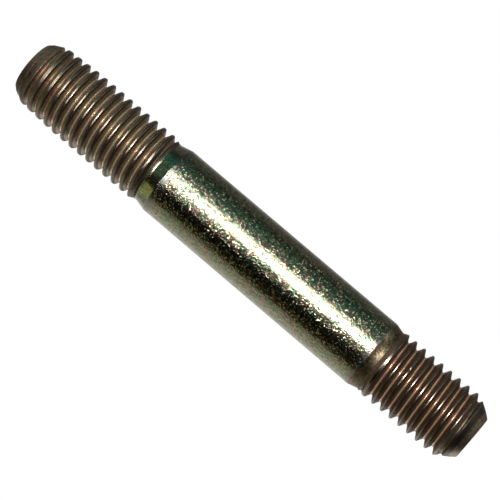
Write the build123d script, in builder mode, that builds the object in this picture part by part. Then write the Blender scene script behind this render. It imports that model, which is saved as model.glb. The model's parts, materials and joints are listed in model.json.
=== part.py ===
import os
from itertools import pairwise

from build123d import *

# Double ended stud: one steel bar, turned down at both ends and thread-rolled there.
# It stands on its tap end: origin at the middle of that end's face, +Z towards the nut end.
# All sizes are millimetres.

# Lengths along the stud
tap_thread_length = 18.4  # from the tap end's face, about 1.5 diameters
tap_taper_length = 1.65
shank_length = 41.7
nut_taper_length = 1.85
nut_neck_length = 0.5  # plain turned-down stretch between taper and thread
nut_thread_length = 25.9

# Diameters
shank_diameter = 11.95
blank_diameter = 11.05  # what both ends are turned down to; the threads are rolled from there
tap_major_diameter = 11.75
nut_major_diameter = 11.95

# Thread, metric coarse, the same on both ends: held here as one V-shaped ring for each pitch
pitch = 1.75
thread_depth = 0.63  # on the radius, from the blank's surface to the roots; the crests rise above it
tap_first_root = 1.11  # from the end's face to the first root
nut_first_root = 0.86

# Chamfered ends
tap_face_diameter = 7.3
tap_chamfer_length = 3.1
nut_face_diameter = 8.2
nut_chamfer_length = 2.5
corner_width = 0.4  # of the broken corner between an end's face and its chamfer
corner_length = 0.2
nut_lead_length = 6.5  # stretch behind the nut end's chamfer where the crests are rolled low
nut_lead_drop = 0.35  # how low, on the radius

# Inner ends of the threads, measured back from where each thread ends
tap_crest_rise = 1.1  # the crests grow out of the blank
nut_crest_rise = 2.5
tap_run_out = 1.6  # the grooves get shallow and disappear
nut_run_out = 2.4
shoulder_radius = 1.2  # where the tapers meet the shank

# Heights of the steps
tap_shoulder = tap_thread_length + tap_taper_length
nut_shoulder = tap_shoulder + shank_length
nut_foot = nut_shoulder + nut_taper_length
nut_thread_end = nut_foot + nut_neck_length
overall_length = nut_thread_end + nut_thread_length

# Lines that the crests of each thread reach, as (radius, distance from the end's face)
tap_crest_line = [
    (tap_face_diameter / 2, 0),
    (tap_face_diameter / 2 + corner_width, corner_length),
    (tap_major_diameter / 2, tap_chamfer_length),
    (tap_major_diameter / 2, tap_thread_length - tap_crest_rise),
    (blank_diameter / 2, tap_thread_length),
]
nut_crest_line = [
    (nut_face_diameter / 2, 0),
    (nut_face_diameter / 2 + corner_width, corner_length),
    (nut_major_diameter / 2 - nut_lead_drop, nut_chamfer_length),
    (nut_major_diameter / 2, nut_chamfer_length + nut_lead_length),
    (nut_major_diameter / 2, nut_thread_length - nut_crest_rise),
    (blank_diameter / 2, nut_thread_length),
]


def radius_on(line, distance):
    """Radius of a line of straight pieces at one distance from the end's face."""
    for (start_radius, start), (end_radius, end) in pairwise(line):
        if distance <= end:
            return start_radius + (end_radius - start_radius) * (distance - start) / (end - start)


def threaded_end(crest_line, first_root, run_out):
    """Outline of a threaded end, as (radius, distance from the end's face), from the face inwards."""
    thread_length = crest_line[-1][1]
    outline = crest_line[:2]
    root = first_root
    while root < thread_length:
        shallow = max(0, root - (thread_length - run_out)) / run_out
        root_radius = blank_diameter / 2 - thread_depth * (1 - shallow)
        if root > corner_length and root_radius < radius_on(crest_line, root):
            before, after = root - pitch / 2, root + pitch / 2
            if len(outline) == 2 and before > corner_length:
                outline.append((radius_on(crest_line, before), before))
            outline.append((root_radius, root))
            if after < thread_length:
                outline.append((radius_on(crest_line, after), after))
        root += pitch
    outline.append(crest_line[-1])
    return outline


tap_outline = threaded_end(tap_crest_line, tap_first_root, tap_run_out)
nut_outline = threaded_end(nut_crest_line, nut_first_root, nut_run_out)
shoulders = [(shank_diameter / 2, tap_shoulder), (shank_diameter / 2, nut_shoulder)]

with BuildPart() as stud:
    with BuildSketch(Plane.XZ) as section:
        with BuildLine():
            Polyline(
                (0, 0),
                *tap_outline,
                *shoulders,
                (blank_diameter / 2, nut_foot),
                *[(radius, overall_length - distance) for radius, distance in reversed(nut_outline)],
                (0, overall_length),
                close=True,
            )
        make_face()
        fillet([section.vertices().sort_by_distance(edge)[0] for edge in shoulders], shoulder_radius)
    revolve(axis=Axis.Z)

stud.part.label = "stud"

os.makedirs("parts", exist_ok=True)
export_step(stud.part, "parts/stud.step")
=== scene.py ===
import json
import math

import bmesh
import bpy
import numpy as np
from mathutils import Matrix, Vector


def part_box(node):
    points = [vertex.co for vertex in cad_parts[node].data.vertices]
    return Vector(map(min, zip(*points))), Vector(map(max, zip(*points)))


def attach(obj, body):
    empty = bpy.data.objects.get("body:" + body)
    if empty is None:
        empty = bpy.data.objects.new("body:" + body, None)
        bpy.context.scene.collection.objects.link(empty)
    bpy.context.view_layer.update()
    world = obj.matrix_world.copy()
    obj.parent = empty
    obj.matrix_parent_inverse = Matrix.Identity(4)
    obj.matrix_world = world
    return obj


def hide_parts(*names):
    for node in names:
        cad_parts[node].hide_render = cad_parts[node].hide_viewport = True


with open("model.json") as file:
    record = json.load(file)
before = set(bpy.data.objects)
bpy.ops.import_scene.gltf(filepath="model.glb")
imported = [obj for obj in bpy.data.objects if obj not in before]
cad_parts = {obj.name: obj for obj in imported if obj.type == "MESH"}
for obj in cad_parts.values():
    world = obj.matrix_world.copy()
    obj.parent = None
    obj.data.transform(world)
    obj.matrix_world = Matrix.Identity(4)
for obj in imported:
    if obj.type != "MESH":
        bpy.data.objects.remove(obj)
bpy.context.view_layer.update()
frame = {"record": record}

# Double ended stud: true helical threads and a plated finish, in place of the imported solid.
# The stud stands on its tap end, +Z towards the nut end. Its sizes are in millimetres.

MM = 0.001
mounts = {mount["name"]: mount for mount in frame["record"]["mounts"]}
overall_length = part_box("stud")[1][2] / MM
shank_radius = mounts["shank"]["dims"]["r_mm"]
tap_crest_radius = mounts["tap_thread"]["dims"]["r_mm"]
nut_crest_radius = mounts["nut_thread"]["dims"]["r_mm"]
tap_thread_length = mounts["tap_thread"]["dims"]["length_mm"]
nut_thread_length = mounts["nut_thread"]["dims"]["length_mm"]

# Thread section
pitch = 1.75
thread_angle = math.radians(60)  # between the two flanks of a groove
root_radius = 4.895
tap_root_flat = 0.32
nut_root_flat = 0.16
root_rounding = 0.14
crest_rounding = 0.10
tap_groove_height = 1.16  # where a groove's middle crosses the +X side
nut_groove_height = 77.02

# Blank and tapers between the threads and the shank
blank_radius = 5.525
tap_taper_length = 1.65
nut_taper_length = 1.85
nut_neck_length = 0.5
shoulder_radius = 1.2
neck_rounding = 0.4

# Chamfered ends: the face, its rounded rim, the chamfer and the low crests behind it
tap_face_radius = 3.5
tap_rim_radius = 4.05
tap_chamfer_length = 3.1
tap_plain_length = 1.0  # from the end to where the grooves start, and the same at the nut end
nut_face_radius = 3.9
nut_rim_radius = 4.5
nut_chamfer_length = 2.5
nut_plain_length = 0.7
nut_lead_length = 6.5
nut_lead_drop = 0.35
rim_height = 0.3  # where the chamfer would reach the rim's radius
rim_width = 0.25
rim_rounding = 0.45
face_crown = 0.04

# Inner ends of the threads
tap_crest_rise = 0.8
nut_crest_rise = 0.9
tap_run_out = 1.6
nut_run_out = 1.3
tap_fade_out = 0.5  # last stretch, in which the groove's bottom rises this far above the blank

# Mesh steps
steps_around = 144
flank_steps = [0.0, 0.09, 0.17, 0.3, 0.44, 0.56, 0.66, 0.74, 0.81, 0.875]  # from root to crest, along Z
shank_rows = 12
shank_margin = 2  # from the shoulders to the first and the last of these rows
merge_distance = 0.002
shortest_edge = 0.0001

tap_thread_end = tap_thread_length
tap_shoulder = tap_thread_end + tap_taper_length
nut_thread_end = overall_length - nut_thread_length
nut_foot = nut_thread_end - nut_neck_length
nut_shoulder = nut_foot - nut_taper_length
nut_chamfer_start = overall_length - nut_chamfer_length

# Lines that the crests reach, as (height, radius)
tap_crest_line = [
    (rim_height, tap_rim_radius),
    (tap_chamfer_length, tap_crest_radius),
    (tap_thread_end - tap_crest_rise, tap_crest_radius),
    (tap_thread_end, blank_radius),
]
nut_crest_line = [
    (nut_thread_end, blank_radius),
    (nut_thread_end + nut_crest_rise, nut_crest_radius),
    (nut_chamfer_start - nut_lead_length, nut_crest_radius),
    (nut_chamfer_start, nut_crest_radius - nut_lead_drop),
    (overall_length - rim_height, nut_rim_radius),
]

# Lines that the roots reach: level, and rising to the blank where a thread runs out
tap_root_line = [
    (tap_thread_end - tap_run_out, root_radius),
    (tap_thread_end - tap_fade_out, blank_radius),
    (tap_thread_end, blank_radius + tap_fade_out),
]
nut_root_line = [
    (nut_thread_end, blank_radius),
    (nut_thread_end + nut_run_out, root_radius),
]

# A nick in one crest of the tap end
nick_height = 14.05
nick_angle = math.radians(287.4)  # round the axis, from +X
nick_width = 0.32
nick_depth = 0.16

# Finish
grains_per_mm = 3.3
grain_depth = 0.04
grain_to_lines = (1, 1, 0.06)  # stretches a noise along Z
rim_wear = 0.7  # share of the worn colour on the shank's rims
taper_stain = 0.85  # share of the brown stains on the tap taper


def on_line(line, height):
    """Radius of a line of straight pieces at some heights, level beyond its ends."""
    heights, radii = zip(*line)
    return np.interp(height, heights, radii)


def smooth_lower(a, b, width):
    """The lower of two values, rounded over where they cross."""
    near = np.maximum(width - np.abs(a - b), 0) / width
    return np.minimum(a, b) - near ** 2 * width / 4


def smooth_higher(a, b, width):
    """The higher of two values, rounded over where they cross."""
    return -smooth_lower(-a, -b, width)


def nick(height, across):
    """Depth of the nick at some heights and some distances round the stud from its middle."""
    distance = np.hypot(height - nick_height, across)
    return nick_depth * np.exp(-((distance / nick_width) ** 2) * 2)


def thread_radius(height, angle, groove_height, root_flat, crest_line, root_line):
    """Radius of a right-hand thread's surface at some heights and angles."""
    turns = (height - groove_height) / pitch - angle / (2 * math.pi)
    from_groove = np.abs(turns - np.round(turns)) * pitch
    root = on_line(root_line, height)
    flank = root + (from_groove - root_flat / 2) / math.tan(thread_angle / 2)
    grooved = smooth_higher(root, flank, root_rounding)
    radius = smooth_lower(on_line(crest_line, height), grooved, crest_rounding)
    return radius - nick(height, radius * (angle - nick_angle))


def thread_rows(low, high, groove_height, root_flat, crest_line, root_line):
    """Rows of (height, radius, share of the groove's depth) that follow the helix, flat at both ends."""
    angle = np.linspace(0, 2 * math.pi, steps_around + 1)
    steps = [-step for step in flank_steps[:0:-1]] + flank_steps[:-1]
    first = math.floor((low - groove_height) / pitch) - 2
    last = math.ceil((high - groove_height) / pitch) + 1
    full_depth = max(highest for _, highest in crest_line) - root_radius
    rows = []
    for turn in range(first, last + 1):
        for step in steps:
            on_helix = groove_height + turn * pitch + step + pitch * angle / (2 * math.pi)
            height = np.clip(on_helix, low, high)
            if height.max() > low and height.min() < high:
                radius = thread_radius(height, angle, groove_height, root_flat, crest_line, root_line)
                rows.append((height, radius, (on_line(crest_line, height) - radius) / full_depth))
    ring = np.ones(steps_around + 1)
    ends = [(ring * end, ring * on_line(crest_line, end), ring * 0) for end in (low, high)]
    return [ends[0], *rows, ends[1]]


def plain_rows(outline):
    """Level rows with no groove, for an outline of (radius, height)."""
    ring = np.ones(steps_around + 1)
    return [(ring * height, ring * radius, ring * 0) for radius, height in outline]


def rounded(before, corner, after, radius, steps=6):
    """Points of an arc in place of a corner, as (radius, height)."""
    before, corner, after = (np.array(point, float) for point in (before, corner, after))
    to_before = (before - corner) / np.linalg.norm(before - corner)
    to_after = (after - corner) / np.linalg.norm(after - corner)
    half = math.acos(np.clip(to_before @ to_after, -1, 1)) / 2
    inward = (to_before + to_after) / np.linalg.norm(to_before + to_after)
    centre = corner + inward * radius / math.sin(half)
    start = corner + to_before * radius / math.tan(half) - centre
    end = corner + to_after * radius / math.tan(half) - centre
    turn = math.atan2(start[0] * end[1] - start[1] * end[0], start @ end)
    points = []
    for part in np.linspace(0, turn, steps + 1):
        cosine, sine = math.cos(part), math.sin(part)
        from_centre = (start[0] * cosine - start[1] * sine, start[0] * sine + start[1] * cosine)
        points.append(tuple(centre + from_centre))
    return points


def end_outline(face_radius, chamfer_radius, plain_length):
    """Crowned face, rounded rim and plain chamfer of an end, as (radius, distance from the end)."""
    crown = [(0.0, 0.0)]
    for part in (0.25, 0.5, 0.75, 1.0):
        crown.append((face_radius * part, face_crown * part ** 2))
    chamfer_end = (chamfer_radius, plain_length)
    rim = rounded(crown[-1], (face_radius + rim_width, face_crown), chamfer_end, rim_rounding)
    return crown + rim + [chamfer_end]


def stud_rows():
    """All rows of the stud, from the tap end's middle to the nut end's."""
    tap_low, nut_high = tap_plain_length, overall_length - nut_plain_length
    tap_end = end_outline(tap_face_radius, on_line(tap_crest_line, tap_low), tap_plain_length)
    nut_end = end_outline(nut_face_radius, on_line(nut_crest_line, nut_high), nut_plain_length)
    tap_corner, nut_corner = (shank_radius, tap_shoulder), (shank_radius, nut_shoulder)
    tap_foot_corner, nut_foot_corner = (blank_radius, tap_thread_end), (blank_radius, nut_foot)
    shank_heights = np.linspace(tap_shoulder + shank_margin, nut_shoulder - shank_margin, shank_rows)
    middle = [
        *rounded(tap_foot_corner, tap_corner, nut_corner, shoulder_radius),
        *[(shank_radius, height) for height in shank_heights],
        *rounded(tap_corner, nut_corner, nut_foot_corner, shoulder_radius),
        *rounded(nut_corner, nut_foot_corner, (blank_radius, nut_thread_end), neck_rounding),
    ]
    tap_lines = (tap_groove_height, tap_root_flat, tap_crest_line, tap_root_line)
    nut_lines = (nut_groove_height, nut_root_flat, nut_crest_line, nut_root_line)
    return [
        *plain_rows(tap_end),
        *thread_rows(tap_low, tap_thread_end, *tap_lines),
        *plain_rows(middle),
        *thread_rows(nut_thread_end, nut_high, *nut_lines),
        *plain_rows([(radius, overall_length - distance) for radius, distance in reversed(nut_end)]),
    ]


def make_stud():
    """The stud's mesh. A thread's row ends where the row a pitch further on starts, and the two merge."""
    angles = np.linspace(0, 2 * math.pi, steps_around + 1)
    grid = bmesh.new()
    groove = grid.verts.layers.float.new("groove")
    points = []
    for row in stud_rows():
        line = []
        for height, radius, depth, angle in zip(*row, angles):
            x, y = radius * math.cos(angle), radius * math.sin(angle)
            vert = grid.verts.new((x * MM, y * MM, height * MM))
            vert[groove] = depth
            line.append(vert)
        points.append(line)
    for lower, upper in zip(points, points[1:]):
        for i in range(steps_around):
            grid.faces.new((lower[i], lower[i + 1], upper[i + 1], upper[i]))
    bmesh.ops.remove_doubles(grid, verts=grid.verts, dist=merge_distance * MM)
    bmesh.ops.dissolve_degenerate(grid, edges=grid.edges, dist=shortest_edge * MM)
    for face in grid.faces:
        face.smooth = True
    mesh = bpy.data.meshes.new("stud_threaded")
    grid.to_mesh(mesh)
    grid.free()
    stud = bpy.data.objects.new("stud_threaded", mesh)
    bpy.context.scene.collection.objects.link(stud)
    return stud


class Nodes:
    """Short calls for building a node tree."""

    def __init__(self, tree):
        self.tree = tree
        tree.nodes.clear()

    def set(self, node_input, value):
        if isinstance(value, bpy.types.NodeSocket):
            self.tree.links.new(value, node_input)
        else:
            node_input.default_value = value

    def add(self, kind, values=None, **settings):
        node = self.tree.nodes.new(kind)
        for name, value in settings.items():
            setattr(node, name, value)
        for name, value in (values or {}).items():
            self.set(node.inputs[name], value)
        return node

    def noise(self, place, scale, detail, roughness):
        values = {"Vector": place, "Scale": scale, "Detail": detail, "Roughness": roughness}
        return self.add("ShaderNodeTexNoise", values).outputs["Fac"]

    def ramp(self, factor, stops):
        """Colours between stops, each of them (position, colour)."""
        node = self.add("ShaderNodeValToRGB", {"Fac": factor})
        elements = node.color_ramp.elements
        while len(elements) > 1:
            elements.remove(elements[-1])
        elements[0].position = stops[0][0]
        elements[0].color = (*stops[0][1], 1)
        for position, colour in stops[1:]:
            elements.new(position).color = (*colour, 1)
        return node.outputs["Color"]

    def remap(self, value, low, high, to_low, to_high):
        values = {"Value": value, "From Min": low, "From Max": high, "To Min": to_low, "To Max": to_high}
        return self.add("ShaderNodeMapRange", values).outputs["Result"]

    def mask(self, value, start, full):
        """0 up to start and 1 from full on. Full may be the lower of the two."""
        return self.remap(value, start, full, 0.0, 1.0)

    def fade(self, mask, off, on):
        """A number that goes from off to on as a mask goes from 0 to 1."""
        return self.remap(mask, 0.0, 1.0, off, on)

    def mix(self, factor, first, second, blend_type="MIX"):
        """Two colours, each a tuple or a socket."""
        node = self.add("ShaderNodeMix", data_type="RGBA", blend_type=blend_type)
        for index, value in ((0, factor), (6, first), (7, second)):
            self.set(node.inputs[index], (*value, 1) if isinstance(value, tuple) else value)
        return node.outputs[2]

    def maths(self, operation, *values):
        node = self.add("ShaderNodeMath", operation=operation)
        for index, value in enumerate(values):
            self.set(node.inputs[index], value)
        return node.outputs[0]

    def product(self, first, *others):
        for other in others:
            first = self.maths("MULTIPLY", first, other)
        return first

    def rest(self, mask):
        """1 where the mask is 0, and 0 where it is 1."""
        return self.maths("SUBTRACT", 1.0, mask)


class Zones:
    """Masks that say where on the stud a point of its surface is, each from 0 to 1."""

    def __init__(self, nodes, height):
        groove = nodes.add("ShaderNodeAttribute", attribute_name="groove").outputs["Fac"]
        normal = nodes.add("ShaderNodeNewGeometry").outputs["Normal"]
        tilt = nodes.add("ShaderNodeSeparateXYZ", {"Vector": normal}).outputs["Z"]

        # Tapers, and the shank's rims beside them
        self.nut_taper = nodes.mask(height, start=nut_shoulder - 0.2, full=nut_shoulder + 0.1)
        self.tap_taper = nodes.mask(height, start=tap_shoulder + 0.2, full=tap_shoulder - 0.1)
        below_nut_shoulder = nodes.mask(height, start=nut_shoulder - 1.9, full=nut_shoulder - 0.2)
        above_tap_shoulder = nodes.mask(height, start=tap_shoulder + 1.4, full=tap_shoulder + 0.2)
        nut_rim = nodes.product(below_nut_shoulder, nodes.rest(self.nut_taper))
        tap_rim = nodes.product(above_tap_shoulder, nodes.rest(self.tap_taper))
        self.rims = nodes.maths("MAXIMUM", nut_rim, tap_rim)

        # Threads, which end of the stud it is, and chamfers
        tap_side = nodes.mask(height, start=tap_thread_end + 0.5, full=tap_thread_end - 0.3)
        nut_side = nodes.mask(height, start=nut_thread_end - 0.35, full=nut_thread_end - 0.15)
        self.threads = nodes.maths("MAXIMUM", tap_side, nut_side)
        self.nutward = nodes.mask(height, start=tap_thread_end, full=nut_thread_end)
        tap_chamfer = nodes.mask(height, start=tap_chamfer_length + 0.2, full=tap_chamfer_length - 0.6)
        nut_chamfer = nodes.mask(height, start=nut_chamfer_start - 0.2, full=nut_chamfer_start + 0.6)
        self.chamfers = nodes.maths("MAXIMUM", tap_chamfer, nut_chamfer)
        off_chamfers = nodes.rest(self.chamfers)

        # Painted shade: dark bands, one on the tap end's chamfer, one on the nut end's neck
        chamfer_shade_low = nodes.mask(height, start=1.0, full=1.3)
        chamfer_shade_high = nodes.mask(height, start=2.4, full=1.9)
        self.chamfer_shade_band = nodes.product(chamfer_shade_low, chamfer_shade_high)
        neck_shade_low = nodes.mask(height, start=nut_thread_end - 0.5, full=nut_thread_end - 0.3)
        neck_shade_high = nodes.mask(height, start=nut_thread_end + 0.5, full=nut_thread_end + 0.2)
        self.neck_shade = nodes.product(neck_shade_low, neck_shade_high)

        # Bottoms of the grooves: the groove value is 0 on a crest and 1 at full depth
        bottom_start = nodes.fade(self.nutward, 0.94, 0.78)
        self.roots = nodes.product(nodes.mask(groove, start=bottom_start, full=0.99), off_chamfers)

        # Tops of the crests, except where a thread runs out, and the tapward flanks just under them,
        # which get a painted shade
        before_run_out = nodes.mask(height, start=tap_thread_end - 0.6, full=tap_thread_end - 0.9)
        past_run_out = nodes.mask(height, start=nut_thread_end + 0.45, full=nut_thread_end + 0.7)
        crests = nodes.product(
            nodes.mask(groove, start=0.24, full=0.12),
            nodes.mask(tilt, start=-0.3, full=-0.05),
            nodes.mask(tilt, start=0.55, full=0.35),
            nodes.maths("MAXIMUM", before_run_out, past_run_out),
            off_chamfers,
        )
        on_lead = nodes.mask(height, start=nut_chamfer_start - nut_lead_length, full=nut_chamfer_start)
        self.crests = nodes.product(crests, nodes.fade(on_lead, 1.0, 0.2))
        self.low_crests = nodes.product(crests, on_lead, 0.65)
        self.painted_shade_under_crests = nodes.product(
            nodes.mask(groove, start=0.42, full=0.26),
            nodes.mask(tilt, start=-0.2, full=-0.5),
            off_chamfers,
        )


def film_colour(nodes, place, cells, zones):
    """Film of the shank: patches, tints and specks, worn on the rims and stained on the tap taper."""
    clouds = nodes.noise(place, scale=1.6, detail=2.0, roughness=0.6)
    tints = nodes.maths("MULTIPLY_ADD", clouds, 0.75, nodes.product(cells.outputs["Green"], 0.25))
    patches = nodes.ramp(nodes.noise(place, scale=1.0, detail=4.0, roughness=0.65), [
        (0.36, (0.20, 0.38, 0.29)),
        (0.44, (0.33, 0.44, 0.29)),
        (0.51, (0.46, 0.45, 0.28)),
        (0.58, (0.48, 0.38, 0.27)),
        (0.66, (0.42, 0.29, 0.31)),
    ])
    film = nodes.mix(0.62, patches, nodes.ramp(tints, [
        (0.37, (0.25, 0.44, 0.33)),
        (0.45, (0.46, 0.56, 0.38)),
        (0.54, (0.70, 0.60, 0.34)),
        (0.63, (0.66, 0.38, 0.37)),
    ]))
    specks = nodes.remap(cells.outputs["Blue"], 0.1, 0.6, 0.70, 1.05)
    film = nodes.mix(1.0, film, specks, "MULTIPLY")
    film = nodes.mix(nodes.product(zones.rims, rim_wear), film, (0.31, 0.30, 0.31))
    return nodes.mix(nodes.product(zones.tap_taper, taper_stain), film, nodes.ramp(tints, [
        (0.38, (0.05, 0.05, 0.03)),
        (0.47, (0.14, 0.11, 0.06)),
        (0.54, (0.26, 0.19, 0.11)),
        (0.62, (0.22, 0.09, 0.07)),
    ]))


def thread_colour(nodes, place, cells, zones):
    """Browner film of the threads, darker at the tap end, with paler roots and brushed crests."""
    flanks = nodes.ramp(nodes.noise(place, scale=1.5, detail=3.0, roughness=0.7), [
        (0.38, (0.17, 0.22, 0.12)),
        (0.46, (0.38, 0.32, 0.21)),
        (0.54, (0.44, 0.31, 0.22)),
        (0.62, (0.34, 0.13, 0.11)),
    ])
    shade = nodes.mix(zones.nutward, (0.58, 0.50, 0.48), (1.0, 1.0, 1.0))
    tap_roots = nodes.mix(cells.outputs["Blue"], (0.40, 0.32, 0.16), (0.46, 0.22, 0.18))
    chamfers = nodes.mix(1.0, flanks, (0.58, 0.61, 0.64), "MULTIPLY")
    # Painted shade: a dark band on the tap end's chamfer
    chamfers = nodes.mix(nodes.fade(zones.chamfer_shade_band, 1.0, 0.18), (0.03, 0.025, 0.02), chamfers)
    colour = nodes.mix(1.0, flanks, shade, "MULTIPLY")
    for mask, its_colour in (
        (zones.roots, nodes.mix(zones.nutward, tap_roots, (0.42, 0.34, 0.23))),
        # Painted shade on the tapward flanks just under the crests
        (zones.painted_shade_under_crests, (0.07, 0.055, 0.04)),
        # Painted shade on the nut end's neck
        (zones.neck_shade, (0.10, 0.08, 0.06)),
        (zones.low_crests, (0.12, 0.09, 0.07)),
        (zones.crests, (0.35, 0.29, 0.24)),
        (zones.chamfers, chamfers),
    ):
        colour = nodes.mix(mask, colour, its_colour)
    return colour


def grain_normal(nodes, place, cells, to_edge, zones):
    """Pitted grain and faint lines along the bar, weaker on tapers and threads."""
    dimple = nodes.add("ShaderNodeMapRange", {
        "Value": to_edge, "From Min": 0.0, "From Max": 0.4,
    }, interpolation_type="SMOOTHSTEP").outputs["Result"]
    pits = nodes.product(dimple, nodes.maths("POWER", cells.outputs["Red"], 1.4))
    grain = nodes.noise(place, scale=2.0, detail=1.0, roughness=0.5)
    stretched = nodes.add("ShaderNodeVectorMath", {0: place, 1: grain_to_lines}, operation="MULTIPLY")
    lines = nodes.noise(stretched.outputs[0], scale=2.2, detail=2.0, roughness=0.6)
    bumps = nodes.maths("ADD", nodes.product(pits, -0.9), nodes.product(grain, 0.25))
    bumps = nodes.maths("ADD", bumps, nodes.product(lines, 0.4))
    tapers = nodes.maths("MAXIMUM", zones.nut_taper, zones.tap_taper)
    smooth = nodes.maths("MAXIMUM", tapers, zones.threads)
    strength = nodes.product(nodes.fade(smooth, 1.0, 0.35), nodes.fade(zones.crests, 1.0, 0.5))
    values = {"Height": bumps, "Strength": strength, "Distance": grain_depth * MM}
    return nodes.add("ShaderNodeBump", values).outputs["Normal"]


def plated_steel():
    """Zinc plate under a yellow-olive chromate film: glossy on the shank, dull on the threads' flanks."""
    material = bpy.data.materials.new("chromated_steel")
    material.use_nodes = True
    nodes = Nodes(material.node_tree)
    metres = nodes.add("ShaderNodeTexCoord").outputs["Object"]
    to_millimetres = {0: metres, 1: (1 / MM, 1 / MM, 1 / MM)}
    place = nodes.add("ShaderNodeVectorMath", to_millimetres, operation="MULTIPLY").outputs[0]
    height = nodes.add("ShaderNodeSeparateXYZ", {"Vector": place}).outputs["Z"]
    grains = {"Vector": place, "Scale": grains_per_mm}
    cell_colour = nodes.add("ShaderNodeTexVoronoi", grains).outputs["Color"]
    cells = nodes.add("ShaderNodeSeparateColor", {"Color": cell_colour})
    to_edge = nodes.add("ShaderNodeTexVoronoi", grains, feature="DISTANCE_TO_EDGE").outputs["Distance"]
    zones = Zones(nodes, height)

    film = film_colour(nodes, place, cells, zones)
    colour = nodes.mix(zones.threads, film, thread_colour(nodes, place, cells, zones))
    dull = nodes.product(zones.threads, nodes.rest(zones.crests))
    dull_metallic = nodes.maths("MAXIMUM", nodes.fade(zones.roots, 0.95, 0.42), zones.chamfers)
    dull_roughness = nodes.fade(zones.roots, 0.45, 0.15)
    bright_roughness = nodes.fade(zones.rims, 0.12, 0.24)
    bright_roughness = nodes.fade(zones.tap_taper, bright_roughness, 0.36)
    bright_roughness = nodes.fade(zones.crests, bright_roughness, 0.20)
    shader = nodes.add("ShaderNodeBsdfPrincipled", {
        "Base Color": colour,
        "Metallic": nodes.fade(dull, 1.0, dull_metallic),
        "Roughness": nodes.fade(dull, bright_roughness, dull_roughness),
        "Specular IOR Level": 0.9,
        "Normal": grain_normal(nodes, place, cells, to_edge, zones),
    })
    nodes.add("ShaderNodeOutputMaterial", {"Surface": shader.outputs["BSDF"]})
    return material


# The camera, as measured in the photo: it looks at the stud from -Y, its lens near the tap end's height
aim = Vector((0, 0, 44.91)) * MM
camera_distance = 357.4 * MM
lean = math.radians(6)  # the tap end is the nearer one
slant = math.radians(40.32)  # of the stud's axis below the level line of the photo
lens_pixels = 2300
photo_pixels = 500
sensor_width = 36


def make_camera():
    """A camera whose picture shows the stud slanting, as in the photo."""
    data = bpy.data.cameras.new("camera")
    data.sensor_width = sensor_width
    data.lens = lens_pixels / photo_pixels * sensor_width
    data.clip_start = 0.01
    data.clip_end = 10
    camera = bpy.data.objects.new("camera", data)
    bpy.context.scene.collection.objects.link(camera)
    forward = Vector((0, math.cos(lean), math.sin(lean)))
    along = Vector((0, math.sin(lean), -math.cos(lean)))
    side = Vector((1, 0, 0))
    right = along * math.cos(slant) + side * math.sin(slant)
    up = side * math.cos(slant) - along * math.sin(slant)
    axes = Matrix((right, up, -forward)).transposed().to_4x4()
    camera.matrix_world = Matrix.Translation(aim - forward * camera_distance) @ axes
    bpy.context.scene.camera = camera


def softbox(name, bearing, distance, height, width, length, power):
    """A soft light in metres and watts, aimed at the stud, at a bearing in degrees from -Y towards +X."""
    data = bpy.data.lights.new(name, "AREA")
    data.shape = "RECTANGLE"
    data.size, data.size_y = width, length
    data.energy = power
    data.color = (1.0, 0.99, 0.97)
    light = bpy.data.objects.new(name, data)
    bpy.context.scene.collection.objects.link(light)
    angle = math.radians(bearing)
    light.location = Vector((math.sin(angle) * distance, -math.cos(angle) * distance, height))
    light.rotation_mode = "QUATERNION"
    light.rotation_quaternion = (light.location - aim).to_track_quat("Z", "Y")
    light.visible_camera = False


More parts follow.
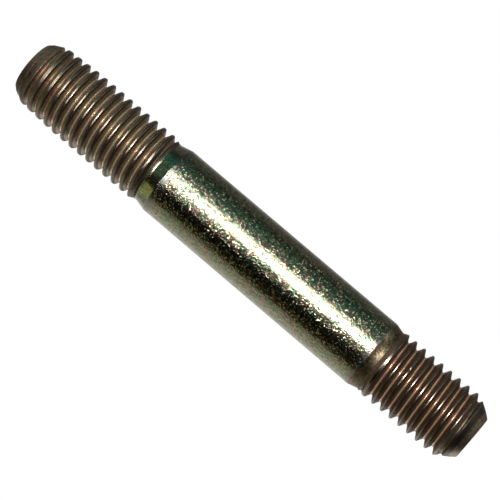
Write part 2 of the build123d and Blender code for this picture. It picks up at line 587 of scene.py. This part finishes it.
def studio_world():
    """White for the camera. In reflections a room with dark and pale sides, by bearing round the stud."""
    world = bpy.data.worlds.new("studio")
    bpy.context.scene.world = world
    world.use_nodes = True
    nodes = Nodes(world.node_tree)
    direction = nodes.add("ShaderNodeTexCoord").outputs["Generated"]
    split = nodes.add("ShaderNodeSeparateXYZ", {"Vector": direction})
    rise = split.outputs["Z"]
    towards_camera = nodes.product(split.outputs["Y"], -1.0)
    bearing = nodes.maths("ARCTAN2", split.outputs["X"], towards_camera)
    share_of_turn = nodes.mask(bearing, start=-math.pi, full=math.pi)

    def walls(stops):
        """Colours between bearings in degrees, 0 on the camera's side and 90 on the +X side."""
        return nodes.ramp(share_of_turn, [((degrees + 180) / 360, colour) for degrees, colour in stops])

    level = walls([
        (-180, (0.70, 0.70, 0.74)),
        (-150, (0.66, 0.66, 0.66)),
        (-115, (0.42, 0.43, 0.40)),
        (-84, (0.25, 0.24, 0.20)),
        (-79, (0.045, 0.032, 0.011)),
        (-66, (0.02, 0.015, 0.006)),
        (-52, (0.003, 0.003, 0.002)),
        (-30, (0.01, 0.01, 0.01)),
        (-5, (0.20, 0.20, 0.18)),
        (40, (0.20, 0.22, 0.21)),
        (56, (0.08, 0.14, 0.13)),
        (72, (0.04, 0.08, 0.07)),
        (92, (0.03, 0.04, 0.035)),
        (120, (0.095, 0.095, 0.085)),
        (145, (0.13, 0.13, 0.12)),
        (180, (0.70, 0.70, 0.74)),
    ])
    upper = walls([
        (-180, (0.30, 0.30, 0.30)),
        (-120, (0.15, 0.15, 0.13)),
        (-100, (0.40, 0.42, 0.24)),
        (-58, (0.28, 0.30, 0.10)),
        (-50, (0.01, 0.01, 0.01)),
        (-20, (0.01, 0.01, 0.01)),
        (-5, (0.03, 0.10, 0.08)),
        (60, (0.03, 0.12, 0.10)),
        (90, (0.02, 0.03, 0.03)),
        (150, (0.20, 0.19, 0.18)),
        (180, (0.30, 0.30, 0.30)),
    ])
    lower = walls([
        (-180, (0.25, 0.25, 0.25)),
        (-162, (0.28, 0.28, 0.28)),
        (-149, (2.30, 2.30, 2.15)),
        (-133, (2.30, 2.30, 2.15)),
        (-118, (0.35, 0.34, 0.30)),
        (-75, (0.14, 0.12, 0.10)),
        (-50, (0.02, 0.02, 0.02)),
        (-10, (0.02, 0.02, 0.02)),
        (25, (0.05, 0.05, 0.05)),
        (52, (0.16, 0.16, 0.14)),
        (66, (1.40, 1.40, 1.30)),
        (84, (1.40, 1.40, 1.30)),
        (104, (0.12, 0.12, 0.10)),
        (150, (0.20, 0.19, 0.18)),
        (180, (0.25, 0.25, 0.25)),
    ])
    steep = walls([
        (-180, (0.20, 0.20, 0.20)),
        (-100, (0.07, 0.06, 0.05)),
        (-30, (0.07, 0.06, 0.05)),
        (0, (0.20, 0.19, 0.17)),
        (40, (0.38, 0.36, 0.33)),
        (100, (0.46, 0.44, 0.40)),
        (150, (0.40, 0.38, 0.35)),
        (180, (0.20, 0.20, 0.20)),
    ])
    room = nodes.mix(nodes.mask(rise, start=0.26, full=0.42), level, upper)
    room = nodes.mix(nodes.mask(rise, start=-0.12, full=-0.26), room, lower)
    room = nodes.mix(nodes.mask(nodes.maths("ABSOLUTE", rise), start=0.55, full=0.75), room, steep)
    seen = nodes.add("ShaderNodeLightPath").outputs["Is Camera Ray"]
    shown = nodes.mix(seen, room, (1.0, 1.0, 1.0))
    background = nodes.add("ShaderNodeBackground", {"Color": shown, "Strength": 1.0})
    nodes.add("ShaderNodeOutputWorld", {"Surface": background.outputs[0]})


def make_floor():
    """A plain pale floor under the standing stud, unseen in its reflections."""
    mesh = bpy.data.meshes.new("floor")
    grid = bmesh.new()
    bmesh.ops.create_circle(grid, cap_ends=True, radius=1.5, segments=64)
    grid.to_mesh(mesh)
    grid.free()
    floor = bpy.data.objects.new("floor", mesh)
    bpy.context.scene.collection.objects.link(floor)
    material = bpy.data.materials.new("pale_floor")
    material.use_nodes = True
    nodes = Nodes(material.node_tree)
    shader = nodes.add("ShaderNodeBsdfPrincipled", {
        "Base Color": (0.85, 0.85, 0.85, 1),
        "Roughness": 0.8,
        "Emission Color": (1, 1, 1, 1),
        "Emission Strength": 0.84,
    })
    nodes.add("ShaderNodeOutputMaterial", {"Surface": shader.outputs["BSDF"]})
    mesh.materials.append(material)
    floor.visible_glossy = False


stud = make_stud()
stud.data.materials.append(plated_steel())
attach(stud, "root")
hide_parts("stud")

make_camera()
studio_world()
make_floor()
softbox("glow", bearing=15.0, distance=0.60, height=0.10, width=0.36, length=0.24, power=0.37)
softbox("key", bearing=16.5, distance=0.59, height=0.055, width=0.20, length=0.12, power=0.26)
softbox("key_core", bearing=10.0, distance=0.58, height=0.055, width=0.045, length=0.10, power=1.0)
softbox("wing", bearing=9.0, distance=0.60, height=0.235, width=0.62, length=0.07, power=0.65)
bpy.context.scene.view_settings.view_transform = "Standard"
